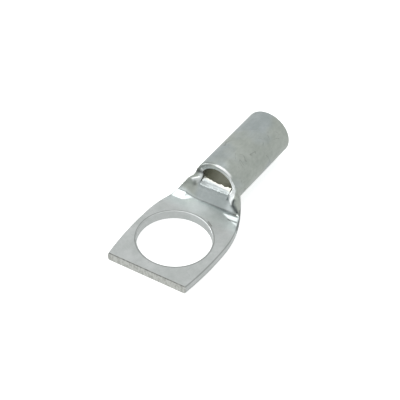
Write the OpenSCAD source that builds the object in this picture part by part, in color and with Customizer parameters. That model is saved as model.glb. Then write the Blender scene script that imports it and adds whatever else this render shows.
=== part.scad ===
// One-piece compression cable lug: a tin-plated copper tube pressed flat at one end.
// Origin: stud hole axis at the contact face. +X runs along the barrel, +Z is up.

/* [Stud palm] */
// Diameter of the stud hole, clearance for a half-inch stud
stud_hole_d = 13.5; // [10.5:0.1:14.5]
// Thickness of the flattened palm
palm_t = 1.8; // [1.2:0.1:2.4]
// Width of the palm at the stud hole, its widest place
palm_w = 17.0; // [16:0.1:22]
// Length from the stud hole axis to the sheared front edge
palm_front = 9.0; // [8.4:0.1:14]
// Angle of the sheared front edge, turned off square
front_skew = 4; // [0:0.5:6]
// Sideways offset of the palm and barrel from the stud hole, toward -Y
hole_offset = 0.25; // [-0.4:0.05:0.4]
// Radius of the gentle curve of the palm's long sides
side_r = 64; // [40:1:120]
// Width of the rounding along the palm's folded long edges
edge_round = 0.4; // [0.2:0.05:1.2]

/* [Wire barrel] */
// Outer diameter of the wire barrel
barrel_od = 9.1; // [8.2:0.1:10.2]
// Diameter of the barrel's bore
barrel_id = 6.8; // [5.5:0.1:7.4]
// Length from the stud hole axis to the barrel's mouth
barrel_end = 30.3; // [24:0.1:50]
// Height of the barrel's underside above the contact face
barrel_rise = 0.55; // [0.1:0.05:1.2]
// Chamfer inside the barrel's mouth
mouth_chamfer = 0.25; // [0.05:0.05:0.5]
// Step at the bore's inner end, where the pressing narrows it
stop_step = 0.2; // [0.1:0.05:0.4]

/* [Neck] */
// Distance from the stud hole axis to where the shoulders start to curve in
shoulder_start = 3.4; // [1:0.1:5]
// Distance from the stud hole axis to the foot of the neck's ramp
ramp_start = 10.7; // [9.8:0.1:11.4]
// Slope of the pressed ramp, in degrees
ramp_slope = 50; // [40:1:56]
// Half width of the ramp at its foot
ramp_foot_half = 5.6; // [5:0.1:6]
// Length of the neck, from the foot of the ramp to the full round barrel
neck_len = 3.75; // [3.2:0.05:5]
// How far ahead of the ramp the side folds start to rise
fold_lead = 2.2; // [1.8:0.1:2.5]
// Slope of the gussets at the ends of the ramp's foot, in degrees
gusset_slope = 22; // [16:1:28]
// Steepness of the side folds' inner walls, in degrees
fold_wall_slope = 66; // [55:1:75]
// Rounding where the side folds turn over
fold_round = 1.3; // [0.3:0.1:1.5]

/* [Inspection window] */
// Distance from the foot of the ramp to the window's arched edge
window_reach = 2.15; // [1.9:0.05:2.6]
// Distance from the foot of the ramp to its torn upper edge
ramp_reach = 1.55; // [1.3:0.05:1.7]
// Half width of the window and of the ramp's torn upper edge
window_half_w = 2.85; // [2.2:0.05:3.1]
// Sideways offset of the window
window_offset = 0.4; // [-0.5:0.1:0.5]
// Tilt of the window's side walls toward the -Y side, in degrees
window_tilt = 15; // [0:1:20]
// Rounding of the arched edge
rim_round = 0.4; // [0.1:0.05:0.5]
// Length of the lip past the ramp's upper edge
lip_len = 1.4; // [0.9:0.05:1.6]
// Rise of the lip over that length
lip_rise = 0.9; // [0.5:0.05:1.1]
// Slit torn between each end of the lip and the side folds
lip_slit = 0.15; // [0.1:0.05:0.5]
// Thickness of the pressed sheet at the ramp and the lip
sheet_t = 0.95; // [0.6:0.05:1.2]

/* [Hidden] */
$fn = 96;
// small overlap that keeps joined bodies from only touching
lap = 0.02;

barrel_r = barrel_od / 2;
bore_r = barrel_id / 2;
axis_z = barrel_rise + barrel_r;
palm_half = palm_w / 2;
neck_start = ramp_start - fold_lead;
neck_end = ramp_start + neck_len;
arch_x = ramp_start + window_reach;
lip_x = ramp_start + ramp_reach;
lip_z = palm_t + ramp_reach * tan(ramp_slope);
cavity_x = ramp_start + sheet_t / 3;
// where the bore's full width starts, just clear of the lip
stop_x = lip_x + lip_len + 0.1;
// height at which the folds run out into the barrel's lower flank
skirt_z = axis_z - barrel_r / 2;
skirt_half = sqrt(pow(barrel_r, 2) - pow(axis_z - skirt_z, 2));
// how far the run-out stands proud of the barrel
skirt_over = 0.25;

// how late the folds' tops, the underside and the widest line leave the palm's level
crest_lag = 1.66;
belly_lag = 2;
widest_lag = 1.7;
// roundness of the section's corners: 2 is an ellipse, more is squarer
palm_corner = 2.6;
crest_corner = 1.8;
// half length of the crease's straight middle, and where its gussets have fully turned up
crease_half = 1.5;
gusset_margin = 0.6;
gusset_half = crease_half + ramp_foot_half - gusset_margin;
gusset_round = 0.3;
// share of the fold's lead that the ramp itself takes at its ends
ramp_share = 0.51;
valley_round = 0.4;
// walls beside the window: length of the change, opening of the -Y fold, slope of the +Y fold
beside_len = 0.5;
fold_open = 0.5;
shoulder_wall = 6;
// length over which the skin swells to the barrel's circle at the arch
swell_len = 1.2;
// the flat slot behind the ramp reaches this share of the bore sideways and down
slot_share = 0.85;
slot_drop = 0.6 * bore_r;

// plan outline: a gentle side arc, then a shoulder arc tangent to it that ends at the barrel
shoulder_y = palm_half - side_r + sqrt(pow(side_r, 2) - pow(shoulder_start, 2));
shoulder_turn = asin(shoulder_start / side_r);
chord_x = neck_end - shoulder_start;
chord_y = skirt_half + skirt_over - shoulder_y;
inward = [-sin(shoulder_turn), -cos(shoulder_turn)];
shoulder_r = (pow(chord_x, 2) + pow(chord_y, 2)) / (2 * (chord_x * inward[0] + chord_y * inward[1]));
shoulder_cx = shoulder_start + shoulder_r * inward[0];
shoulder_cy = shoulder_y + shoulder_r * inward[1];

function mix(a, b, t) = a + (b - a) * t;
function unit(t) = min(1, max(0, t));
function ease(t) = let (u = unit(t)) u * u * (3 - 2 * u);
// a corner of zero below d = 0 and slope 1 above it, rounded over the length r
function soft_step(d, r) = (d + sqrt(d * d + r * r)) / 2;
function soft_min(a, b, r) = let (h = max(r - abs(a - b), 0) / r) min(a, b) - h * h * r / 4;

// half width of the outline at x
function half_w(x) = x < shoulder_start
    ? palm_half - side_r + sqrt(pow(side_r, 2) - x * x)
    : shoulder_cy + sqrt(pow(shoulder_r, 2) - pow(x - shoulder_cx, 2));

// how far the side folds have risen: 0 on the palm, 1 at the window's arch
function rise(x) = unit((x - neck_start) / (arch_x - neck_start));
// the same to the end of the neck, for the underside
function run(x) = unit((x - neck_start) / (neck_end - neck_start));

function top_z(x) = mix(palm_t, axis_z + barrel_r, pow(rise(x), crest_lag));
function bottom_z(x) = mix(0, barrel_rise, pow(run(x), belly_lag));
function widest_z(x) = mix(palm_t / 2, skirt_z, pow(run(x), widest_lag));
function corner_w(x) = mix(edge_round, half_w(x), pow(rise(x), crest_lag));
function corner_p(x) = mix(palm_corner, crest_corner, pow(rise(x), 3));

// height over the widest line of a rounded corner, as a share of the full height
function corner(y, w, a, p) = let (d = max(0, abs(y) - (w - a)) / a) pow(max(0, 1 - pow(d, p)), 1 / p);

// pressed shape of the ramp, its gussets and the inner walls of the side folds
function side_lead(y) = ease((abs(y) - crease_half) / (gusset_half - crease_half));
function ramp_half(x) = mix(ramp_foot_half, window_half_w,
    unit((x - ramp_start + fold_lead / 2) / (ramp_reach + fold_lead / 2)));
// beside the window the +Y fold keeps the barrel's full shoulder, the -Y fold opens a little
function beside(x) = ease((x - lip_x + beside_len / 2) / beside_len);
function press_half(x, side) =
    mix(ramp_half(x), side > 0 ? window_half_w / 2 : window_half_w + fold_open, beside(x));
function wall_slope(x, side) =
    mix(tan(fold_wall_slope), side > 0 ? shoulder_wall : tan(fold_wall_slope), beside(x));
function press_z(x, y) = let (
        lead = side_lead(y),
        side = y > window_offset ? 1 : -1,
        gusset = tan(gusset_slope) * soft_step(x - ramp_start + fold_lead * lead, gusset_round * lead + lap),
        ramp = tan(ramp_slope) * max(0, x - ramp_start + ramp_share * fold_lead * lead),
        from_middle = abs(y - window_offset * rise(x)),
        wall = wall_slope(x, side) * soft_step(from_middle - press_half(x, side), valley_round))
    palm_t + max(lead > 0 ? gusset : 0, ramp) + wall * ease((x - neck_start) / fold_lead);

steps = 18;
function across(x, j) = half_w(x) * sin(90 * j / steps);
function round_top(y) = axis_z + sqrt(max(0, pow(barrel_r, 2) - y * y));
function skin_top(x, y) = let (
        fold = mix(widest_z(x), top_z(x), corner(y, half_w(x), corner_w(x), corner_p(x))),
        swell = abs(y) < barrel_r ? ease(1 + (x - arch_x) / swell_len) : 0)
    max(fold, mix(fold, round_top(y) - lap, swell));
function pressed_top(x, y) = x <= neck_start
    ? skin_top(x, y)
    : let (turn = fold_round * unit((x - neck_start) / fold_lead) + lap)
        max(widest_z(x), soft_min(skin_top(x, y), press_z(x, y), turn));
function skin_bottom(x, y) = let (
        w = half_w(x),
        round_w = mix(edge_round, w, run(x)),
        round_p = mix(palm_corner, 2, run(x)))
    mix(widest_z(x), bottom_z(x), corner(y, w, round_w, round_p));

// one closed ring of the skin at x, over the top from -Y to +Y and back under the bottom
function ring(x) = concat(
    [for (j = [-steps : steps]) let (y = across(x, j)) [x, y, pressed_top(x, y)]],
    [for (j = [steps - 1 : -1 : 1 - steps]) let (y = across(x, j)) [x, y, skin_bottom(x, y)]]);
// past the window the folds are only a skirt on the barrel's lower half
function skirt_top(x, y) = mix(widest_z(x), axis_z + barrel_r / 3, corner(y, half_w(x), half_w(x), 2));
function skirt_ring(x) = concat(
    [for (j = [-steps : steps]) let (y = across(x, j)) [x, y, skirt_top(x, y)]],
    [for (j = [steps - 1 : -1 : 1 - steps]) let (y = across(x, j)) [x, y, skin_bottom(x, y)]]);

palm_rings = 20;
neck_rings = 36;
skirt_rings = 6;
front_x = -palm_front - tan(front_skew) * palm_half - lap;
rings = concat(
    [for (i = [0 : palm_rings - 1]) ring(mix(front_x, neck_start, i / palm_rings))],
    [for (i = [0 : neck_rings]) ring(mix(neck_start, arch_x, i / neck_rings))],
    [for (i = [0 : skirt_rings]) skirt_ring(mix(arch_x + lap, neck_end - lap, i / skirt_rings))]);

module loft(rings) {
    count = len(rings[0]);
    last = len(rings) - 1;
    polyhedron(
        points = [for (r = rings) each r],
        faces = concat(
            [[for (k = [count - 1 : -1 : 0]) k]],
            [for (i = [0 : last - 1], k = [0 : count - 1])
                let (a = i * count + k, b = i * count + (k + 1) % count)
                    each k < count / 4 ? [[a, b, b + count], [a, b + count, a + count]]
                        : [[a, b, a + count], [b, b + count, a + count]]],
            [[for (k = [0 : count - 1]) last * count + k]]),
        convexity = 6);
}

module along_x(x0, x1, r) {
    translate([x0, 0, axis_z])
        rotate([0, 90, 0])
            cylinder(h = x1 - x0, r = r);
}

// chamfer that leads the conductor into the mouth
module mouth_flare() {
    translate([barrel_end - mouth_chamfer, 0, axis_z])
        rotate([0, 90, 0])
            cylinder(h = 2 * mouth_chamfer, r1 = bore_r, r2 = bore_r + 2 * mouth_chamfer);
}

// rounded-over outer edge of the window's arch
module window_rim() {
    translate([arch_x, 0, axis_z])
        rotate([0, 90, 0])
            cylinder(h = rim_round, r1 = barrel_r - rim_round, r2 = barrel_r);
}

// everything ahead of the sheared front edge
module front_shear() {
    translate([-palm_front, 0, 0])
        rotate([0, 0, front_skew])
            translate([-palm_front, -palm_w, -palm_t])
                cube([palm_front, 2 * palm_w, 3 * palm_t]);
}

// flat slot left between the pressed walls, ahead of the bore
module slot() {
    hull() {
        translate([cavity_x, -ramp_foot_half + sheet_t, palm_t / 2])
            cube([lap, 2 * (ramp_foot_half - sheet_t), lap]);
        translate([stop_x, -bore_r * slot_share, axis_z - slot_drop])
            cube([lap, 2 * bore_r * slot_share, lip_z + lip_rise - sheet_t - axis_z + slot_drop]);
    }
}

// the torn lip at the top of the ramp, bent nearly level, with its root sunk in the ramp's sheet
module lip() {
    root = sheet_t / 2;
    half = window_half_w - lip_slit;
    translate([0, window_offset + half, 0])
        rotate([90, 0, 0])
            linear_extrude(2 * half)
                polygon([
                    [lip_x - root, lip_z - root * tan(ramp_slope) - sheet_t / 4],
                    [lip_x, lip_z - lap],
                    [lip_x + lip_len, lip_z + lip_rise],
                    [lip_x + lip_len, lip_z + lip_rise - sheet_t],
                    [lip_x, lip_z - sheet_t],
                    [lip_x - root, lip_z - root * tan(ramp_slope) - sheet_t / 2]]);
}

// clears the window between its side walls, from the slot under the lip up through the barrel's wall
module window_cut() {
    depth = lip_z - axis_z + slot_drop;
    translate([0, window_offset, lip_z])
        rotate([window_tilt, 0, 0])
            translate([lip_x + lap, -window_half_w, -depth])
                cube([arch_x - lip_x, 2 * window_half_w, 2 * barrel_r + depth]);
}

// the pressed tube before its stud hole is punched
module pressed_tube() {
    difference() {
        union() {
            loft(rings);
            along_x(arch_x + rim_round, barrel_end, barrel_r);
            window_rim();
        }
        front_shear();
        along_x(arch_x - 2 * lap, stop_x + lap, bore_r - stop_step);
        along_x(stop_x, barrel_end + lap, bore_r);
        mouth_flare();
        slot();
        window_cut();
    }
    lip();
}

module lug() {
    color([0.72, 0.74, 0.73])
        difference() {
            translate([0, -hole_offset, 0])
                pressed_tube();
            translate([0, 0, -palm_t])
                cylinder(h = 3 * palm_t, d = stud_hole_d);
        }
}

lug();
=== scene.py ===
import math

import bmesh
import bpy
from mathutils import Matrix, Vector, noise


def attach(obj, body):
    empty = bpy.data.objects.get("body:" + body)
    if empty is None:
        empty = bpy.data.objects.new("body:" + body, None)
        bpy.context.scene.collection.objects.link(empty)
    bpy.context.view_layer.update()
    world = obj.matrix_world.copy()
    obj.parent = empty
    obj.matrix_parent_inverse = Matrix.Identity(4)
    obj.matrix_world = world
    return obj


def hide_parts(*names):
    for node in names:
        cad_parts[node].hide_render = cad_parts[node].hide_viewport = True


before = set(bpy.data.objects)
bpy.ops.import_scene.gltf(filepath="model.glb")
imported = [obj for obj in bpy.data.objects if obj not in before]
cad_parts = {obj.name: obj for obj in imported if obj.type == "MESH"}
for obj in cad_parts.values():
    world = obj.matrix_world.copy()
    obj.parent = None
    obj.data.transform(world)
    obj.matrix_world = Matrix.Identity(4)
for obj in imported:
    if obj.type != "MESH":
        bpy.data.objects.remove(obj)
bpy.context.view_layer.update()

# A cable lug pressed from one length of tin-plated tube. +X runs along the barrel, +Z is up, out of the palm.
# Left is +Y and right is -Y, looking along the barrel from the palm. The form is worked out in millimetres
# about the body's middle, moved beside the stud hole's axis, and scaled to metres last.

# ---------------------------------------------------------------- sizes, in millimetres
MM = 0.001
LAP = 0.02  # overlap of joined bodies, so that they don't only touch

# the palm
STUD_HOLE_R = 6.75
HOLE_ROLL = 0.16  # width of the edge that the punch rolls over
PALM_T = 1.8
PALM_HALF = 8.5
PALM_FRONT = 9.0
FRONT_SKEW = math.radians(4)
SKIN_FRONT = -10.2  # where the tube starts, before its front is sheared off
SKIN_INSET = 0.002  # keeps the finer sides within the solid's
BODY_OFFSET = -0.25  # the body's middle, from the stud hole's axis
SIDE_R = 64.0
EDGE_ROUND = 0.4

# the wire barrel
BARREL_R = 4.55
BORE_R = 3.4
BARREL_END = 30.3
BARREL_RISE = 0.55
AXIS_Z = BARREL_RISE + BARREL_R
MOUTH_CHAMFER = 0.25
MOUTH_EDGE = 0.12
ARCH_ROUND = 0.4
DRAWN_LEN = 2.4  # length behind the arch over which the pressing drew the barrel in
DRAWN_SHARE = 0.05
DRAWN_MIDDLE = -0.25  # radians from the top, toward the left where positive
DRAWN_SPREAD = 1.25

# the neck
SHOULDER_START = 3.4
RAMP_START = 10.7
RAMP_SLOPE = math.tan(math.radians(50))
RAMP_SKEW = 0.09
RAMP_FOOT_HALF = 5.6
NECK_LEN = 3.75
FOLD_LEAD = 2.2
SWELL_LEN = 1.2  # length over which the folds swell to the barrel's circle
SKIRT_OVER = 0.25  # how far the folds' run-out stands proud of the barrel

# the inspection window and the lip torn from it
WINDOW_REACH = 2.15
RAMP_REACH = 1.75
WINDOW_HALF_W = 2.85
WINDOW_OFFSET = 0.4
WINDOW_TILT = math.radians(11)
LIP_LEN = 1.13
LIP_RISE = 0.75
LIP_SLIT = 0.27  # how far the lip lies right of the window's middle, which leaves a slit at its left
LIP_BOW = 0.12  # how much shorter it is in the middle than at its sides
LIP_LEFT_REACH = 0.3  # and how much longer at its left corner
LIP_SAG = 0.05
TEAR_COARSE, TEAR_FINE = 0.16, 0.08  # raggedness of its torn edge
SHEET_T = 0.95
SLOT_DROP = 0.6 * BORE_R
SLOT_SHARE = 0.85

NECK_START = RAMP_START - FOLD_LEAD
NECK_END = RAMP_START + NECK_LEN
ARCH_X = RAMP_START + WINDOW_REACH
LIP_X = RAMP_START + RAMP_REACH
LIP_Z = PALM_T + RAMP_REACH * RAMP_SLOPE
SKIRT_Z = AXIS_Z - BARREL_R / 2
SKIRT_HALF = math.sqrt(BARREL_R**2 - (AXIS_Z - SKIRT_Z) ** 2)

# how late the folds' tops, the underside and the widest line leave the palm's level
CREST_LAG = 1.66
BELLY_LAG = 2
WIDEST_LAG = 1.7
# roundness of the section's corners: 2 is an ellipse, more is squarer
PALM_CORNER = 2.6
CREST_CORNER = 1.8
TUBE_CORNER = 2

# the gussets that turn up from the palm at both ends of the crease
GUSSET_SLOPE = math.tan(math.radians(22))
LEFT_GUSSET_Y = 2.7  # from here outward, over its width, it starts ever further ahead of the crease
LEFT_GUSSET_W = 2.2
LEFT_GUSSET_LEN = 1.45
RIGHT_GUSSET_X = RAMP_START - 0.5
RIGHT_GUSSET_Y = 3.0
RIGHT_GUSSET_SPREAD = 0.376  # how its front edge slants forward on the way out
RIGHT_GUSSET_CROWN = 0.4  # how its levelled top slants up on the way out
CREASE_SET = 0.02  # how far behind the ramp's start the crease lies in the middle
CREASE_PULL = 0.2  # how the right gusset pulls the crease forward
CREASE_PULL_Y = 3.4

# the folds' inner walls: how far from the middle they stand on the ramp, and their slopes
LEFT_FOOT = ((RAMP_START - 0.5, 6.9), (RAMP_START + 1.3, 3.85), (RAMP_START + 2.0, 3.1))
LEFT_FOOT_BESIDE = 2.7
RIGHT_FOOT_X = RAMP_START + 0.24
RIGHT_FOOT = 5.5  # at that place, and narrowing behind it
RIGHT_FOOT_SLOPE = 1.92
RIGHT_FOOT_NARROW = 4.1
LEFT_WALL_START = RAMP_START - 0.7
RIGHT_WALL_START = RAMP_START - 1.1
WALL_LEAD = 1.2
LEFT_WALL_LOW, LEFT_WALL_HIGH, LEFT_WALL_BESIDE = 1.6, 5.0, 8.0
RIGHT_WALL = 1.8

# the web that closes the right fold beside the window, and the dent under the left fold's crest
WEB_X = RAMP_START + 1.8
WEB_FOOT = 2.65
WEB_FLARE = 1.5
WEB_LOW, WEB_HIGH = 0.9, 2.3
DENT_X, DENT_Y = RAMP_START + 1.3, 4.0
DENT_LEN, DENT_W, DENT_DEPTH = 0.6, 0.5, 0.3

# the folds' flattened crests
CREST_START = RAMP_START - 0.2
CREST_INNER = 2.0
LEFT_CREST_X, LEFT_CREST_Y, LEFT_CREST_Z = RAMP_START + 1.3, 4.4, 5.0
LEFT_CREST_SLOPE = 0.37
LEFT_CREST_SKEW = 1.3
LEFT_CREST_FALL, LEFT_CREST_DIP = 0.25, 0.1
RIGHT_CREST_X, RIGHT_CREST_Y, RIGHT_CREST_Z = RAMP_START + 1.5, 4.2, 4.7
RIGHT_CREST_SLOPE = 0.7
RIGHT_CREST_FALL = 0.5
LEFT_LIFT, LEFT_LIFT_X = 30.0, ARCH_X - 0.25  # how the crests sweep up to the barrel
RIGHT_LIFT, RIGHT_LIFT_X = 12.0, ARCH_X - 0.35

# how closely the pressed corners are bent
WALL_BEND = 0.2
GUSSET_BEND = 0.1
RIGHT_CREASE_BEND = 0.06
WEB_BEND = 0.1
RIDGE_BEND = 0.05
CREST_BEND = 0.12
EASY_BEND = 0.3
FOLD_BEND_LOW, FOLD_BEND_HIGH = 0.14, 0.25  # where the folds turn over, low on the ramp and beside the window

# where the painted shade and painted highlights lie
PAINT_START = 6.0
CREASE_TOP = 3.2  # no painted shade from the crease above this height
GROOVE_TOP = 5.5  # and none from the right fold's groove above this one
SPLIT_X = RAMP_START - 1.3  # dark line where the right fold leaves the palm
WEB_END = 4.0  # how far out the web gets its painted highlight
DENT_Z = 3.75
PILLAR_Z = 6.3  # painted shade on the arch's left leg
PALM_LIGHT_X, PALM_LIGHT_Y, PALM_LIGHT_LEN, PALM_LIGHT_W = 8.9, -0.3, 1.7, 3.6  # painted light on the palm between hole and ramp

# the shoulder arc starts tangent to the palm's side arc and ends at the barrel
SHOULDER_Y = PALM_HALF - SIDE_R + math.sqrt(SIDE_R**2 - SHOULDER_START**2)
SHOULDER_TURN = math.asin(SHOULDER_START / SIDE_R)
CHORD_X = NECK_END - SHOULDER_START
CHORD_Y = SKIRT_HALF + SKIRT_OVER - SHOULDER_Y
INWARD_X, INWARD_Y = -math.sin(SHOULDER_TURN), -math.cos(SHOULDER_TURN)
SHOULDER_R = (CHORD_X**2 + CHORD_Y**2) / (2 * (CHORD_X * INWARD_X + CHORD_Y * INWARD_Y))
SHOULDER_CX = SHOULDER_START + SHOULDER_R * INWARD_X
SHOULDER_CY = SHOULDER_Y + SHOULDER_R * INWARD_Y

# how finely round shapes are divided
AROUND_TUBE = 256
AROUND_TURNED = 192
QUARTER_TURN = [math.radians(15 * i) for i in range(7)]


# ---------------------------------------------------------------- arithmetic of the form
def mix(a, b, t):
    return a + (b - a) * t


def unit(t):
    return min(1.0, max(0.0, t))


def between(x, start, end):
    """0 at start, 1 at end, straight between them and level outside; start may be the larger."""
    return unit((x - start) / (end - start))


def ease(t):
    t = unit(t)
    return t * t * (3 - 2 * t)


def eased(x, start, end):
    """As between, but it leaves and arrives gently."""
    return ease((x - start) / (end - start))


def through(x, stops):
    """Straight runs through (x, value) stops, level ahead of the first and behind the last."""
    value = stops[0][1]
    for (start, _), (end, target) in zip(stops, stops[1:]):
        value = mix(value, target, between(x, start, end))
    return value


def soft_rise(d, bend):
    """0 below d = 0 and d above it, with the corner bent over that length."""
    return (d + math.sqrt(d * d + bend * bend)) / 2


def soft_min(a, b, bend):
    """The lower of two heights, with the corner between them bent over."""
    h = max(bend - abs(a - b), 0.0) / bend
    return min(a, b) - h * h * bend / 4


def band(distance, width):
    """1 on a line, fading to nothing about two widths away from it."""
    return math.exp(-(distance / width) ** 2)


# ---------------------------------------------------------------- form of the pressed tube
def half_w(x):
    """Half width in plan: the palm's side arc, then the shoulder arc."""
    if x < SHOULDER_START:
        return PALM_HALF - SIDE_R + math.sqrt(SIDE_R**2 - x * x)
    return SHOULDER_CY + math.sqrt(SHOULDER_R**2 - (x - SHOULDER_CX) ** 2)


def rise(x):
    """How far the side folds have risen: 0 on the palm, 1 at the window's arch."""
    return between(x, NECK_START, ARCH_X)


def run(x):
    """The same to the end of the neck, for the underside."""
    return between(x, NECK_START, NECK_END)


def top_z(x):
    return mix(PALM_T, AXIS_Z + BARREL_R, rise(x) ** CREST_LAG)


def bottom_z(x):
    return mix(0, BARREL_RISE, run(x) ** BELLY_LAG)


def widest_z(x):
    return mix(PALM_T / 2, SKIRT_Z, run(x) ** WIDEST_LAG)


def corner(y, half, roll, fullness):
    """Share of the full height over the widest line, where the section rolls over at its sides."""
    d = max(0.0, abs(y) - (half - roll)) / roll
    return max(0.0, 1 - d**fullness) ** (1 / fullness)


def crease_x(y):
    """Where the ramp rises: pressed a little askew, and pulled forward beside the right gusset."""
    pull = CREASE_PULL * soft_rise(-y - CREASE_PULL_Y, EASY_BEND)
    return RAMP_START + CREASE_SET - RAMP_SKEW * y - pull


def gusset_z(x, y):
    """Rise of the gussets over the palm; the right one starts along a slanting line and levels out again."""
    if y > 0:
        lead = between(y, LEFT_GUSSET_Y, LEFT_GUSSET_Y + LEFT_GUSSET_W)
        return GUSSET_SLOPE * lead * soft_rise(x - crease_x(y) + LEFT_GUSSET_LEN * lead, GUSSET_BEND)
    out = soft_rise(-y - RIGHT_GUSSET_Y, GUSSET_BEND)
    back = soft_rise(x - RIGHT_GUSSET_X + RIGHT_GUSSET_SPREAD * out, RIGHT_CREASE_BEND)
    return GUSSET_SLOPE * soft_min(back, RIGHT_GUSSET_CROWN * out, GUSSET_BEND)


def beside_window(x):
    """0 ahead of the window, 1 in the last stretch before the arch, where the folds stand beside it."""
    return eased(x, ARCH_X - 0.35, ARCH_X - 0.05)


def wall_foot(x, y):
    """Half width of the pressed ramp, where the folds' inner walls rise from it."""
    if y > 0:
        return mix(through(x, LEFT_FOOT), LEFT_FOOT_BESIDE, beside_window(x))
    return max(RIGHT_FOOT_NARROW, RIGHT_FOOT - RIGHT_FOOT_SLOPE * (x - RIGHT_FOOT_X))


def wall_slope(x, y):
    """Slope of the folds' inner walls; the left one stands up more and more toward the window."""
    if y > 0:
        slope = mix(LEFT_WALL_LOW, LEFT_WALL_HIGH, eased(x, RAMP_START + 0.7, RAMP_START + 1.2))
        return mix(slope, LEFT_WALL_BESIDE, beside_window(x))
    return RIGHT_WALL


def web_foot(x, foot):
    """Half width at the web's foot, which flares out ahead of the window."""
    return foot + WEB_FLARE * max(0.0, WEB_X - x)


def web_z(x, y):
    """Rise of the web that closes the right fold beside the window."""
    if y >= 0:
        return 0.0
    slope = mix(WEB_LOW, WEB_HIGH, eased(x, WEB_X - 0.2, WEB_X + 0.3))
    return slope * soft_rise(-y - web_foot(x, WEB_FOOT), WEB_BEND) * eased(x, WEB_X - 0.9, WEB_X - 0.5)


def press_z(x, y):
    """Height left under the die that presses the ramp, its gussets, the folds' inner walls, web and dent."""
    crease = crease_x(y)
    ramp = gusset_z(min(x, crease), y) + RAMP_SLOPE * max(0.0, x - crease)
    wall_start = LEFT_WALL_START if y > 0 else RIGHT_WALL_START
    wall = wall_slope(x, y) * soft_rise(abs(y) - wall_foot(x, y), WALL_BEND)
    wall *= eased(x, wall_start, wall_start + WALL_LEAD)
    dent = DENT_DEPTH * ease(1 - math.hypot((x - DENT_X) / DENT_LEN, (y - DENT_Y) / DENT_W))
    return PALM_T + ramp + wall + web_z(x, y) - dent


def fold_top(x, y):
    """Top of the tube before the die comes down, swelling to the barrel's circle at the arch."""
    half = half_w(x)
    roll = mix(EDGE_ROUND, half, rise(x) ** CREST_LAG)
    fullness = mix(PALM_CORNER, CREST_CORNER, rise(x) ** 3)
    fold = mix(widest_z(x), top_z(x), corner(y, half, roll, fullness))
    if abs(y) >= BARREL_R:
        return fold
    circle = AXIS_Z + math.sqrt(BARREL_R**2 - y * y) - LAP
    return max(fold, mix(fold, circle, eased(x, ARCH_X - SWELL_LEN, ARCH_X)))


def crest_z(x, y):
    """Height of the side folds' flattened crests, either side of the window."""
    if y > 0:
        ridge = LEFT_CREST_Z + LEFT_CREST_SLOPE * (x - LEFT_CREST_X)
        out = y - LEFT_CREST_Y + LEFT_CREST_SKEW * (x - LEFT_CREST_X)
        crest = soft_min(ridge - LEFT_CREST_FALL * out, ridge + LEFT_CREST_DIP * out, RIDGE_BEND)
        return crest + LEFT_LIFT * max(0.0, x - LEFT_LIFT_X) ** 2
    crest = RIGHT_CREST_Z + RIGHT_CREST_SLOPE * (x - RIGHT_CREST_X)
    fall = RIGHT_CREST_FALL * soft_rise(-y - RIGHT_CREST_Y, EASY_BEND)
    return crest + RIGHT_LIFT * max(0.0, x - RIGHT_LIFT_X) ** 2 - fall


def skin_top(x, y):
    """Top of the pressed tube; behind the arch the folds are only a skirt on the barrel's lower half."""
    if x <= NECK_START:
        return fold_top(x, y)
    if x > ARCH_X:
        half = half_w(x)
        return mix(widest_z(x), AXIS_Z + BARREL_R / 3, corner(y, half, half, TUBE_CORNER))
    fold = fold_top(x, y)
    if abs(y) > CREST_INNER and x > CREST_START:
        crest = mix(fold, crest_z(x, y), eased(abs(y), CREST_INNER, CREST_INNER + 0.6))
        fold = soft_min(fold, crest, CREST_BEND)
    bend = mix(FOLD_BEND_LOW, FOLD_BEND_HIGH, eased(x, RAMP_START + 0.5, RAMP_START + 1.3))
    bend = bend * between(x, NECK_START, RAMP_START) + 0.001
    return max(widest_z(x), soft_min(fold, press_z(x, y), bend))


def skin_bottom(x, y):
    """Underside of the pressed tube: flat under the palm, round under the barrel."""
    half = half_w(x)
    roll = mix(EDGE_ROUND, half, run(x))
    return mix(widest_z(x), bottom_z(x), corner(y, half, roll, mix(PALM_CORNER, TUBE_CORNER, run(x))))


# ---------------------------------------------------------------- mesh helpers
def new_piece(name, bm):
    """Closes the seams of a bmesh, turns its faces outwards and puts it in the scene."""
    bmesh.ops.remove_doubles(bm, verts=bm.verts, dist=1e-5)
    bmesh.ops.recalc_face_normals(bm, faces=bm.faces)
    mesh = bpy.data.meshes.new(name)
    bm.to_mesh(mesh)
    bm.free()
    piece = bpy.data.objects.new(name, mesh)
    bpy.context.scene.collection.objects.link(piece)
    return piece


def settle(piece):
    """Keeps the result of a piece's modifiers as its mesh."""
    graph = bpy.context.evaluated_depsgraph_get()
    mesh = bpy.data.meshes.new_from_object(piece.evaluated_get(graph))
    old = piece.data
    piece.modifiers.clear()
    piece.data = mesh
    bpy.data.meshes.remove(old)


def join_or_cut(piece, tool, operation):
    """Joins the tool to the piece or cuts it away, and deletes the tool."""
    step = piece.modifiers.new(operation.lower(), "BOOLEAN")
    step.operation = operation
    step.solver = "MANIFOLD"
    step.object = tool
    settle(piece)
    old = tool.data
    bpy.data.objects.remove(tool)
    bpy.data.meshes.remove(old)


def turned(name, points, axis, lift=0.0):
    """A solid turned about an axis through the origin, from (x, z) points that start and end on it."""
    bm = bmesh.new()
    line = [bm.verts.new((x, 0, z)) for x, z in points]
    edges = [bm.edges.new(pair) for pair in zip(line, line[1:])]
    bmesh.ops.spin(bm, geom=line + edges, cent=(0, 0, 0), axis=axis, angle=math.tau,
                   steps=AROUND_TURNED, use_merge=True, use_duplicate=False)
    bmesh.ops.translate(bm, verts=bm.verts, vec=(0, 0, lift))
    return new_piece(name, bm)


def block(name, low, high, place):
    """A box between two corners, moved and turned by place."""
    bm = bmesh.new()
    bmesh.ops.create_cube(bm, size=1)
    low, high = Vector(low), Vector(high)
    bmesh.ops.scale(bm, vec=high - low, verts=bm.verts)
    bmesh.ops.translate(bm, vec=(low + high) / 2, verts=bm.verts)
    bmesh.ops.transform(bm, matrix=place, verts=bm.verts)
    return new_piece(name, bm)


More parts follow.
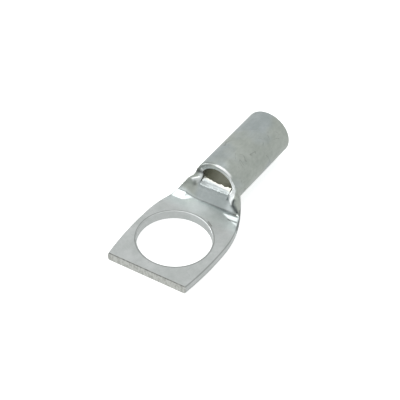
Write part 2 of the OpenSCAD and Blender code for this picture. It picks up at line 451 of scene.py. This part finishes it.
# ---------------------------------------------------------------- the lug
def pressed_skin():
    """A closed tube, drawn out along X and pressed to the outer form ring by ring."""
    stations = [mix(SKIN_FRONT, NECK_START, i / 24) for i in range(24)]
    stations += [mix(NECK_START, RAMP_START, i / 30) for i in range(30)]
    stations += [mix(RAMP_START, ARCH_X, i / 40) for i in range(41)]
    stations += [mix(ARCH_X + LAP, NECK_END - LAP, i / 10) for i in range(11)]
    last = len(stations) - 1
    bm = bmesh.new()
    bmesh.ops.create_cone(bm, cap_ends=True, cap_tris=False, segments=AROUND_TUBE,
                          radius1=1, radius2=1, depth=1)
    long_edges = [e for e in bm.edges if abs(e.verts[0].co.z - e.verts[1].co.z) > 0.5]
    bmesh.ops.subdivide_edges(bm, edges=long_edges, cuts=last - 1)
    for v in bm.verts:
        across, height = v.co.x, v.co.y
        x = stations[round((v.co.z + 0.5) * last)]
        y = (half_w(x) - SKIN_INSET) * across
        # the rings lean with the crease, most at the ramp's start and not at all at the palm and the arch
        lean = min((x - NECK_START) / (RAMP_START - NECK_START), (ARCH_X - x) / (ARCH_X - RAMP_START))
        x += (crease_x(y) - RAMP_START) * max(0.0, lean)
        y = (half_w(x) - SKIN_INSET) * across
        if abs(height) < 1e-6:
            v.co = (x, y, widest_z(x))
        else:
            v.co = (x, y, skin_top(x, y) if height > 0 else skin_bottom(x, y))
    return new_piece("lug_skin", bm)


def barrel():
    """The round barrel, its arched edge rounded over and its front drawn in a little by the pressing."""
    points = [(ARCH_X, 0.0)]
    points += [(ARCH_X + ARCH_ROUND * (1 - math.cos(a)), BARREL_R - ARCH_ROUND * (1 - math.sin(a)))
               for a in QUARTER_TURN]
    points += [(ARCH_X + ARCH_ROUND + 0.2 * i, BARREL_R) for i in range(1, 12)]
    points += [(BARREL_END - MOUTH_EDGE, BARREL_R), (BARREL_END, BARREL_R - MOUTH_EDGE), (BARREL_END, 0.0)]
    piece = turned("barrel", points, (1, 0, 0), AXIS_Z)
    for v in piece.data.vertices:
        y, z = v.co.y, v.co.z - AXIS_Z
        if math.hypot(y, z) > 1.0:
            along = ease((ARCH_X + DRAWN_LEN - v.co.x) / DRAWN_LEN)
            around = ease(DRAWN_SPREAD - abs(math.atan2(y, z) - DRAWN_MIDDLE))
            share = 1 - DRAWN_SHARE * along * around
            v.co.y, v.co.z = y * share, AXIS_Z + z * share
    return piece


def bore():
    """The bore from the arch out through the mouth, where it flares to leave the chamfer."""
    start, mouth, flare = ARCH_X - 2 * LAP, BARREL_END - MOUTH_CHAMFER, 2 * MOUTH_CHAMFER
    points = [(start, 0.0), (start, BORE_R), (mouth, BORE_R)]
    points += [(mouth + flare, BORE_R + flare), (mouth + flare, 0.0)]
    return turned("bore", points, (1, 0, 0), AXIS_Z)


def lip():
    """The torn tongue at the top of the ramp, bent nearly level, with a ragged rear edge."""
    root = SHEET_T / 2
    bm = bmesh.new()
    bmesh.ops.create_grid(bm, x_segments=14, y_segments=60, size=0.5)
    for v in bm.verts:
        back, side = v.co.x + 0.5, v.co.y * 2
        middle = 1 - side * side
        coarse = noise.noise(Vector((side * 5.0, 3.1, 0.4)))
        fine = noise.noise(Vector((side * 17.0, 1.2, 2.0)))
        length = LIP_LEN + TEAR_COARSE * coarse + TEAR_FINE * fine
        length += LIP_LEFT_REACH * max(0.0, side) ** 2 - LIP_BOW * middle * back
        x = LIP_X - root + (root + length) * back
        y = WINDOW_OFFSET - LIP_SLIT + WINDOW_HALF_W * side
        past = x - LIP_X
        if past > 0:
            z = LIP_Z + LIP_RISE * past / LIP_LEN
        else:
            z = LIP_Z + RAMP_SLOPE * past - SHEET_T / 4
        v.co = (x - RAMP_SKEW * y, y, z - LIP_SAG * middle * unit(past / LIP_LEN))
    bmesh.ops.recalc_face_normals(bm, faces=bm.faces)
    bmesh.ops.solidify(bm, geom=bm.faces, thickness=SHEET_T / 2)
    return new_piece("lip", bm)


def slot():
    """The flat slot left between the pressed walls, ahead of the bore: a wedge that opens toward it."""
    start, end = RAMP_START + 0.3, LIP_X + LIP_LEN + 0.1
    start_half, end_half = RAMP_FOOT_HALF - SHEET_T, BORE_R * SLOT_SHARE
    bm = bmesh.new()
    bmesh.ops.create_cube(bm, size=1)
    for v in bm.verts:
        side = 1 if v.co.y > 0 else -1
        if v.co.x > 0:
            z = LIP_Z + LIP_RISE - SHEET_T if v.co.z > 0 else AXIS_Z - SLOT_DROP
            v.co = (end, side * end_half, z)
        else:
            v.co = (start, side * start_half, PALM_T / 2 + (LAP if v.co.z > 0 else 0))
    return new_piece("slot", bm)


def window():
    """What the die tears open between the lip and the arch, tilted a little to the right."""
    place = Matrix.Translation((0, WINDOW_OFFSET, LIP_Z)) @ Matrix.Rotation(WINDOW_TILT, 4, "X")
    return block("window", (LIP_X + LAP, -WINDOW_HALF_W, AXIS_Z - SLOT_DROP - LIP_Z),
                 (ARCH_X + LAP, WINDOW_HALF_W, LIP_RISE + 2 * BARREL_R), place)


def stud_hole():
    """The punched hole; the punch rolls its upper edge over a little."""
    below, above = -PALM_T, PALM_T + HOLE_ROLL
    points = [(0.0, below), (STUD_HOLE_R, below)]
    points += [(STUD_HOLE_R + HOLE_ROLL * (1 - math.cos(a)), PALM_T - HOLE_ROLL * (1 - math.sin(a)))
               for a in QUARTER_TURN]
    points += [(STUD_HOLE_R + HOLE_ROLL, above), (0.0, above)]
    return turned("stud_hole", points, (0, 0, 1))


def front_shear():
    """What the shear cuts off ahead of the palm."""
    place = Matrix.Translation((-PALM_FRONT, 0, 0)) @ Matrix.Rotation(FRONT_SKEW, 4, "Z")
    return block("front_shear", (-PALM_FRONT, -2 * PALM_HALF, -PALM_T), (0, 2 * PALM_HALF, 2 * PALM_T), place)


# ---------------------------------------------------------------- painted shade and highlights, marked on the lug's points
def on_arch(y, z):
    """Whether a point lies on the outer edge of the window's arch, above its legs."""
    return z > AXIS_Z + 0.9 and math.hypot(y, z - AXIS_Z) > BARREL_R - 0.45


def painted_shade_and_marks_at(x, y, z):
    """Painted shade, 0 to 1, with some torn marks: darkening in the crease, along the folds' outer edge, in
    the right fold's groove, in the left dent, under the lip's front edge, on the arch's left leg and the left
    part of its rim, a dark line where the right fold leaves the palm, and mottled dark marks, partly painted
    shade, on the lip and in the window behind it; x and y from the body's middle.
    """
    from_rim = half_w(x) - abs(y)
    marks = [0.0]
    if z < CREASE_TOP:
        # painted shade: a dark line in the crease, and darkening along the folds' outer edge
        marks.append(0.55 * band(x - crease_x(y) - 0.03, width=0.09) * eased(from_rim, 0.4, 0.9))
        marks.append(0.75 * band(from_rim, width=0.4) * eased(x, 8.0, 8.5))
    if y < 0 and z < GROOVE_TOP:
        # painted shade in the right fold's groove, and a dark line where the right fold leaves the palm
        groove = band(-y - wall_foot(x, y) - 0.15, width=0.4)
        groove *= eased(x, RAMP_START - 0.1, RAMP_START + 0.2) * eased(x, RAMP_START + 1.5, RAMP_START + 1.2)
        split = 0.85 * band(x - SPLIT_X, width=0.13) * eased(-y, 4.4, 5.0)
        marks += [groove, split]
    elif y > 0:
        # painted shade in the dent under the left fold's crest
        from_dent = math.hypot(x - DENT_X + 0.05, y - DENT_Y - 0.1, 0.7 * (z - DENT_Z))
        marks.append(0.75 * band(from_dent, width=0.4))
    within_lip = eased(abs(y - WINDOW_OFFSET), WINDOW_HALF_W, WINDOW_HALF_W - 0.2)
    on_lip = x + RAMP_SKEW * y - LIP_X
    # painted shade under the lip's front edge
    marks.append(0.6 * band(on_lip + 0.09, width=0.06) * within_lip)
    if on_lip > 0 and z < LIP_Z + LIP_RISE + 0.1:
        # mottled dark marks on the lip and in the window behind it, partly painted shade
        torn = noise.noise(Vector((on_lip * 9.0, y * 0.5, 0.7)))
        marks.append((0.38 + 0.5 * torn) * within_lip)
    if x > ARCH_X - 0.1 and y > 2.3:
        # painted shade on the arch's left leg
        marks.append(0.85 * band(z - PILLAR_Z, width=0.6))
    # painted shade dulling the left part of the arch's rim
    if x > ARCH_X - 0.1 and on_arch(y, z):
        marks.append(0.4 * eased(y, 0.5, 1.3) * eased(x, ARCH_X + 0.5, ARCH_X + 0.3))
    return max(marks)


def painted_highlight_at(x, y, z):
    """Painted highlights, 0 to 1: painted light on the palm between hole and ramp, and painted highlights on
    the arch's rim, the right web, the left ramp's edge and the left crest; x and y from the body's middle.
    """
    if x < RAMP_START - 0.6 or z < PALM_T + 0.2:
        # painted light on the palm between hole and ramp
        from_palm_light = math.hypot((x - PALM_LIGHT_X) / PALM_LIGHT_LEN, (y - PALM_LIGHT_Y) / PALM_LIGHT_W)
        return 0.45 * band(from_palm_light, width=1.0)
    if on_arch(y, z):
        # painted highlight on the arch's rim
        return eased(y, 0.6, 0.1) * eased(y, -3.2, -2.4) * eased(x, ARCH_X + 0.45, ARCH_X + 0.3)
    if y < 0:
        # painted highlight on the web beside the window
        foot = web_foot(x, WEB_FOOT - 0.05)
        across = eased(-y, foot, foot + 0.2) * eased(-y, WEB_END + 0.2, WEB_END)
        return across * eased(x, RAMP_START + 0.9, RAMP_START + 1.1)
    # painted highlights: a thin line along the left ramp's edge and a streak on the left crest
    edge = 0.8 * band(y - wall_foot(x, y) + 0.08, width=0.07)
    edge *= eased(x, RAMP_START + 1.0, RAMP_START + 1.2) * eased(z, 4.6, 4.3)
    streak = band(y - 4.1 + 1.1 * (x - LEFT_CREST_X), width=0.42)
    streak *= eased(x, RAMP_START + 0.8, RAMP_START + 1.1) * eased(z, 4.4, 4.6)
    return max(edge, streak)


def mark_painted_light(piece):
    """Keeps painted shade (with some torn marks) and painted highlights on the piece's points, for the finish
    to read.
    """
    mesh = piece.data
    dark = mesh.attributes.new("painted_shade_and_marks", "FLOAT", "POINT")
    bright = mesh.attributes.new("painted_highlight", "FLOAT", "POINT")
    for i, v in enumerate(mesh.vertices):
        x, y, z = v.co.x / MM, v.co.y / MM - BODY_OFFSET, v.co.z / MM
        near_window = x < ARCH_X + 0.55 or math.hypot(y, z - AXIS_Z) < BARREL_R - 0.3
        if PAINT_START < x < LIP_X + LIP_LEN + 0.4 and z > PALM_T / 2 and near_window:
            # painted shade and painted highlights
            dark.data[i].value = painted_shade_and_marks_at(x, y, z)
            bright.data[i].value = painted_highlight_at(x, y, z)


# ---------------------------------------------------------------- the whole lug
def make_lug():
    """The lug in one piece: pressed skin and barrel joined, opened, given its lip, sheared and punched."""
    piece = pressed_skin()
    join_or_cut(piece, barrel(), "UNION")
    join_or_cut(piece, bore(), "DIFFERENCE")
    join_or_cut(piece, slot(), "DIFFERENCE")
    join_or_cut(piece, window(), "DIFFERENCE")
    join_or_cut(piece, lip(), "UNION")
    join_or_cut(piece, front_shear(), "DIFFERENCE")
    piece.data.transform(Matrix.Translation((0, BODY_OFFSET, 0)))
    join_or_cut(piece, stud_hole(), "DIFFERENCE")

    bm = bmesh.new()
    bm.from_mesh(piece.data)
    bmesh.ops.scale(bm, vec=(MM, MM, MM), verts=bm.verts)
    for f in bm.faces:
        f.smooth = True
    bm.to_mesh(piece.data)
    bm.free()
    piece.data.set_sharp_from_angle(angle=math.radians(24))
    mark_painted_light(piece)
    piece.name = "lug_body"
    return piece


# ---------------------------------------------------------------- shader helpers
class Value:
    """A shader socket that takes part in ordinary arithmetic."""

    def __init__(self, shader, socket):
        self.shader, self.socket = shader, socket

    def _math(self, operation, a, b=None):
        inputs = {0: a} if b is None else {0: a, 1: b}
        return self.shader.node("ShaderNodeMath", {"operation": operation}, inputs)

    def __add__(self, other):
        return self._math("ADD", self, other)

    def __sub__(self, other):
        return self._math("SUBTRACT", self, other)

    def __rsub__(self, other):
        return self._math("SUBTRACT", other, self)

    def __mul__(self, other):
        return self._math("MULTIPLY", self, other)

    def __abs__(self):
        return self._math("ABSOLUTE", self)

    __radd__, __rmul__ = __add__, __mul__

    def over(self, start, end):
        """0 at start, 1 at end, eased between them."""
        return self.shader.node("ShaderNodeMapRange", {"interpolation_type": "SMOOTHSTEP"},
                                {"Value": self, "From Min": start, "From Max": end})

    def under(self, start, end):
        """1 at start, 0 at end, eased between them."""
        return 1 - self.over(start, end)


class Shader:
    """A material whose nodes are added by short calls."""

    def __init__(self, name):
        self.material = bpy.data.materials.new(name)
        self.material.use_nodes = True
        self.tree = self.material.node_tree
        self.surface = self.tree.nodes["Principled BSDF"]

    def feed(self, socket, value):
        if isinstance(value, Value):
            self.tree.links.new(value.socket, socket)
        else:
            socket.default_value = value

    def node(self, kind, settings=None, inputs=None, output=0):
        """Adds a node with its settings and with values or links for its sockets, and gives its output."""
        made = self.tree.nodes.new(kind)
        for key, value in (settings or {}).items():
            setattr(made, key, value)
        for key, value in (inputs or {}).items():
            self.feed(made.inputs[key], value)
        return Value(self, made.outputs[output])

    def set(self, **values):
        """Sets or links the surface's own sockets."""
        for key, value in values.items():
            self.feed(self.surface.inputs[key.replace("_", " ")], value)

    def place(self):
        """Sets the position on the piece in millimetres, as the vector spot and as x, y and z."""
        metres = self.node("ShaderNodeTexCoord", output="Object")
        to_mm = {0: metres, "Scale": 1 / MM}
        self.spot = self.node("ShaderNodeVectorMath", {"operation": "SCALE"}, to_mm)
        self.x, self.y, self.z = (self.node("ShaderNodeSeparateXYZ", None, {0: self.spot}, axis)
                                  for axis in ("X", "Y", "Z"))

    def vector(self, x, y, z):
        return self.node("ShaderNodeCombineXYZ", None, {0: x, 1: y, 2: z})

    def noise(self, vector, scale, detail, rough=0.5, warp=0.0):
        inputs = {"Vector": vector, "Scale": scale, "Detail": detail, "Roughness": rough, "Distortion": warp}
        return self.node("ShaderNodeTexNoise", None, inputs)

    def marked(self, name):
        """What the mesh keeps on its points under that name."""
        return self.node("ShaderNodeAttribute", {"attribute_name": name}, output="Fac")

    def blend(self, amount, a, b):
        return self.node("ShaderNodeMix", {"data_type": "RGBA"}, {0: amount, 6: a, 7: b}, output=2)

    def bump(self, height, strength, distance):
        inputs = {"Height": height, "Strength": strength, "Distance": distance}
        return self.node("ShaderNodeBump", None, inputs)


def opaque(r, g, b):
    return (r, g, b, 1.0)


# ---------------------------------------------------------------- the finish
PALM_DULL, PALM_CLEAN = opaque(0.58, 0.60, 0.59), opaque(0.72, 0.73, 0.73)
# painted light on the palm's rear
LIT_PALM_DULL, LIT_PALM_CLEAN = opaque(0.64, 0.70, 0.69), opaque(0.82, 0.87, 0.87)
TUBE_DULL, TUBE_CLEAN = opaque(0.42, 0.45, 0.415), opaque(0.57, 0.595, 0.555)
# painted cool reflection along the tube's top
REFLECTED_DULL, REFLECTED_CLEAN = opaque(0.41, 0.45, 0.45), opaque(0.545, 0.58, 0.585)
SHEARED_DULL, SHEARED_CLEAN = opaque(0.55, 0.55, 0.52), opaque(0.74, 0.74, 0.71)
BORE_TIN = opaque(0.70, 0.70, 0.64)
# colour of the painted highlights
HIGHLIGHT_TIN = opaque(0.97, 0.98, 0.98)
# colour of the painted shade, also used for the lip's torn marks
SHADE_AND_MARK_DARK = opaque(0.06, 0.065, 0.065)
HAIRLINE = opaque(0.12, 0.12, 0.11)
SCRATCHED = opaque(0.2, 0.2, 0.2)
# colour of the painted shade lines on the palm's sides and at the stud hole's edge
SHADE_LINE = opaque(0.15, 0.16, 0.15)
BURR = opaque(0.10, 0.10, 0.10)

SCRATCH_X, SCRATCH_Y = 6.58, -3.09
SCRATCH_RUN_X, SCRATCH_RUN_Y = -0.444, -0.896

# Rings, given as the squares of their radii, in mm2.
CLEAR_OF_HOLE = (54.0, 60.0)
HOLE_LINE_START = (47.2, 48.2)
HOLE_LINE_END = (49.6, 51.0)
BORE_EDGE = (12.2, 13.0)


def plating(s, cloud, grain, on_barrel):
    """Mottled tin, with painted light on the palm's rear, duller on the tube, and a painted cool reflection
    along the tube's top.
    """
    streaks = s.noise(s.vector(s.x * 0.12, s.y * 3.0, s.z * 3.0), 1.0, 3.0)
    spots = s.noise(s.spot, 1.3, 3.0, 0.65)
    mottle = (cloud - 0.5) * 0.6 + (spots - 0.5) * 0.5
    mottle = mottle + (grain - 0.5) * 0.15 + (streaks - 0.5) * 0.15 * on_barrel
    tone = (mottle + 0.5).over(0.2, 0.8)
    aside = s.y - BODY_OFFSET
    # painted cool reflection along the tube's top, broken up by noise
    cool_reflection = (s.noise(s.spot, 0.13, 2.0) - aside * aside * 0.012).over(0.34, 0.52)
    # painted light on the palm's rear, between hole and ramp
    lit_rear = s.x.over(6.0, 8.5) * s.z.over(0.0, 0.1)
    palm = s.blend(tone, s.blend(lit_rear, PALM_DULL, LIT_PALM_DULL), s.blend(lit_rear, PALM_CLEAN, LIT_PALM_CLEAN))
    tube = s.blend(tone, s.blend(cool_reflection, TUBE_DULL, REFLECTED_DULL), s.blend(cool_reflection, TUBE_CLEAN, REFLECTED_CLEAN))
    return s.blend(s.x.over(RAMP_START - 0.4, RAMP_START + 0.2), palm, tube)


def with_hairlines(s, colour, on_barrel):
    """Fine broken dark lines, faint on the palm and clearer on the barrel."""
    wander = s.noise(s.spot, 0.22, 2.0, 0.5, 0.6) - 0.5
    broken = s.noise(s.spot, 0.5, 2.0).over(0.52, 0.6)
    return s.blend(abs(wander).under(0.0, 0.012) * broken * (on_barrel * 0.3 + 0.1), colour, HAIRLINE)


def with_scratch(s, colour):
    """One short scratch on top of the palm."""
    x, y = s.x - SCRATCH_X, s.y - SCRATCH_Y
    along = x * SCRATCH_RUN_X + y * SCRATCH_RUN_Y
    across = y * SCRATCH_RUN_X - x * SCRATCH_RUN_Y
    scratch = (across * across).under(0.0, 0.03) * (along * along).under(0.33, 0.68)
    return s.blend(scratch * s.z.over(PALM_T - 0.1, PALM_T - 0.05) * 0.6, colour, SCRATCHED)


def sheared_face(s):
    """1 on the face that the shear left at the palm's front."""
    behind = (s.x + PALM_FRONT) * math.cos(FRONT_SKEW) + (s.y - BODY_OFFSET) * math.sin(FRONT_SKEW)
    return behind.under(0.03, 0.08)


def with_side_lines(s, colour, sheared):
    """Painted shade: dark lines along the palm's sides, under the upper edge and along the lower one."""
    upper = s.z.over(PALM_T - 0.3, PALM_T - 0.2) * s.z.under(PALM_T - 0.08, PALM_T - 0.01) * 0.45
    lower = s.z.over(0.0, 0.1) * s.z.under(0.5, 0.9) * 0.35
    outside_hole = (s.x * s.x + s.y * s.y).over(*CLEAR_OF_HOLE)
    sides = outside_hole * s.x.under(8.0, 9.0) * (1 - sheared)
    return s.blend((upper + lower) * sides, colour, SHADE_LINE)


def with_sheared_front(s, colour, sheared):
    """Coarse torn metal on the sheared face, with a dark burr along its top."""
    tears = s.noise(s.vector(s.x, s.y * 3.0, s.z * 1.2), 1.0, 3.0, 0.7).over(0.38, 0.58)
    colour = s.blend(sheared, colour, s.blend(tears, SHEARED_DULL, SHEARED_CLEAN))
    burr = s.noise(s.vector(0.0, s.y * 1.1, 0.0), 1.0, 3.0) * 1.2
    return s.blend(sheared * s.z.over(PALM_T - 0.3, PALM_T - 0.14) * burr, colour, BURR)


def with_hole_line(s, colour):
    """A thin painted shade line where the punch rolled the stud hole's upper edge over."""
    reach = s.x * s.x + s.y * s.y
    ring = reach.over(*HOLE_LINE_START) * reach.under(*HOLE_LINE_END)
    return s.blend(ring * s.z.over(PALM_T - 0.04, PALM_T - 0.01) * 0.5, colour, SHADE_LINE)


def with_bore(s, colour):
    """Cleaner, warmer tin inside the bore."""
    aside, up = s.y - BODY_OFFSET, s.z - AXIS_Z
    inside = (aside * aside + up * up).under(*BORE_EDGE)
    return s.blend(inside * s.x.over(ARCH_X - 0.05, ARCH_X + 0.35), colour, BORE_TIN)


def tin_plate():
    """Satin tin plating over the whole lug, with its painted shade, its painted highlights and its sheared
    front.
    """
    s = Shader("tin_plate")
    s.place()
    cloud = s.noise(s.spot, 0.35, 3.0)
    grain = s.noise(s.spot, 5.0, 3.0, 0.6)
    painted_highlight = s.marked("painted_highlight")
    on_barrel = s.x.over(ARCH_X - 0.25, NECK_END + 0.05)
    colour = plating(s, cloud, grain, on_barrel)
    colour = with_hairlines(s, colour, on_barrel)
    # painted highlights, then painted shade
    colour = s.blend(painted_highlight * 0.95, colour, HIGHLIGHT_TIN)
    colour = s.blend(s.marked("painted_shade_and_marks"), colour, SHADE_AND_MARK_DARK)
    colour = with_scratch(s, colour)
    sheared = sheared_face(s)
    colour = with_side_lines(s, colour, sheared)
    colour = with_sheared_front(s, colour, sheared)
    colour = with_hole_line(s, colour)
    colour = with_bore(s, colour)
    rough = (cloud - 0.5) * 0.12 + (grain - 0.5) * 0.08 + painted_highlight * 0.2 + 0.33
    s.set(Base_Color=colour, Metallic=1.0, Roughness=rough)
    s.set(Normal=s.bump(grain, 0.15, 0.1 * MM))
    return s.material


# ---------------------------------------------------------------- the scene
FLOOR_DROP = 0.02 * MM  # keeps the floor just clear of the palm's underside
FLOOR_HALF = 1.5
AIM = Vector((0.011, 0.0, 0.003))

CAMERA_SPOT = Vector((-152.731, -102.866, 191.432)) * MM
CAMERA_RIGHT = Vector((0.560238, -0.827930, 0.025804))
CAMERA_UP = Vector((0.568872, 0.407210, 0.714538))
CAMERA_BACK = Vector((-0.602095, -0.385632, 0.699121))


def area_light(name, offset, size, power):
    """A softbox, that far from the lug and turned toward it."""
    lamp = bpy.data.lights.new(name, "AREA")
    lamp.shape, lamp.size, lamp.size_y, lamp.energy = "RECTANGLE", size[0], size[1], power
    made = bpy.data.objects.new(name, lamp)
    made.location = AIM + Vector(offset)
    made.rotation_euler = (-Vector(offset)).to_track_quat("-Z", "Y").to_euler()
    bpy.context.scene.collection.objects.link(made)


def pale_floor():
    bm = bmesh.new()
    bmesh.ops.create_grid(bm, x_segments=1, y_segments=1, size=FLOOR_HALF)
    bmesh.ops.translate(bm, vec=(0, 0, -FLOOR_DROP), verts=bm.verts)
    floor = new_piece("floor", bm)
    s = Shader("pale_floor")
    s.set(Base_Color=opaque(0.75, 0.75, 0.75), Roughness=0.9, Specular_IOR_Level=0.1)
    s.set(Emission_Color=opaque(1, 1, 1), Emission_Strength=0.65)
    floor.data.materials.append(s.material)
    floor.visible_glossy = False


def studio_light():
    world = bpy.data.worlds.new("studio")
    world.use_nodes = True
    background = world.node_tree.nodes["Background"]
    background.inputs["Color"].default_value = opaque(0.97, 1.0, 0.99)
    background.inputs["Strength"].default_value = 0.72
    bpy.context.scene.world = world
    area_light("overhead_softbox", (-0.13, 0.22, 0.5), (0.28, 0.95), 1.6)
    area_light("side_softbox", (-0.13, 0.48, 0.05), (0.16, 0.16), 0.55)


def place_camera():
    lens = bpy.data.cameras.new("camera")
    lens.sensor_width, lens.lens = 36.0, 135.0
    lens.clip_start, lens.clip_end = 0.01, 10.0
    made = bpy.data.objects.new("camera", lens)
    turn = Matrix((CAMERA_RIGHT, CAMERA_UP, CAMERA_BACK)).transposed().to_4x4()
    made.matrix_world = Matrix.Translation(CAMERA_SPOT) @ turn
    bpy.context.scene.collection.objects.link(made)
    bpy.context.scene.camera = made


lug = make_lug()
lug.data.materials.clear()
lug.data.materials.append(tin_plate())
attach(lug, "root")
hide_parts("lug")

pale_floor()
studio_light()
place_camera()
bpy.context.scene.view_settings.view_transform = "Standard"
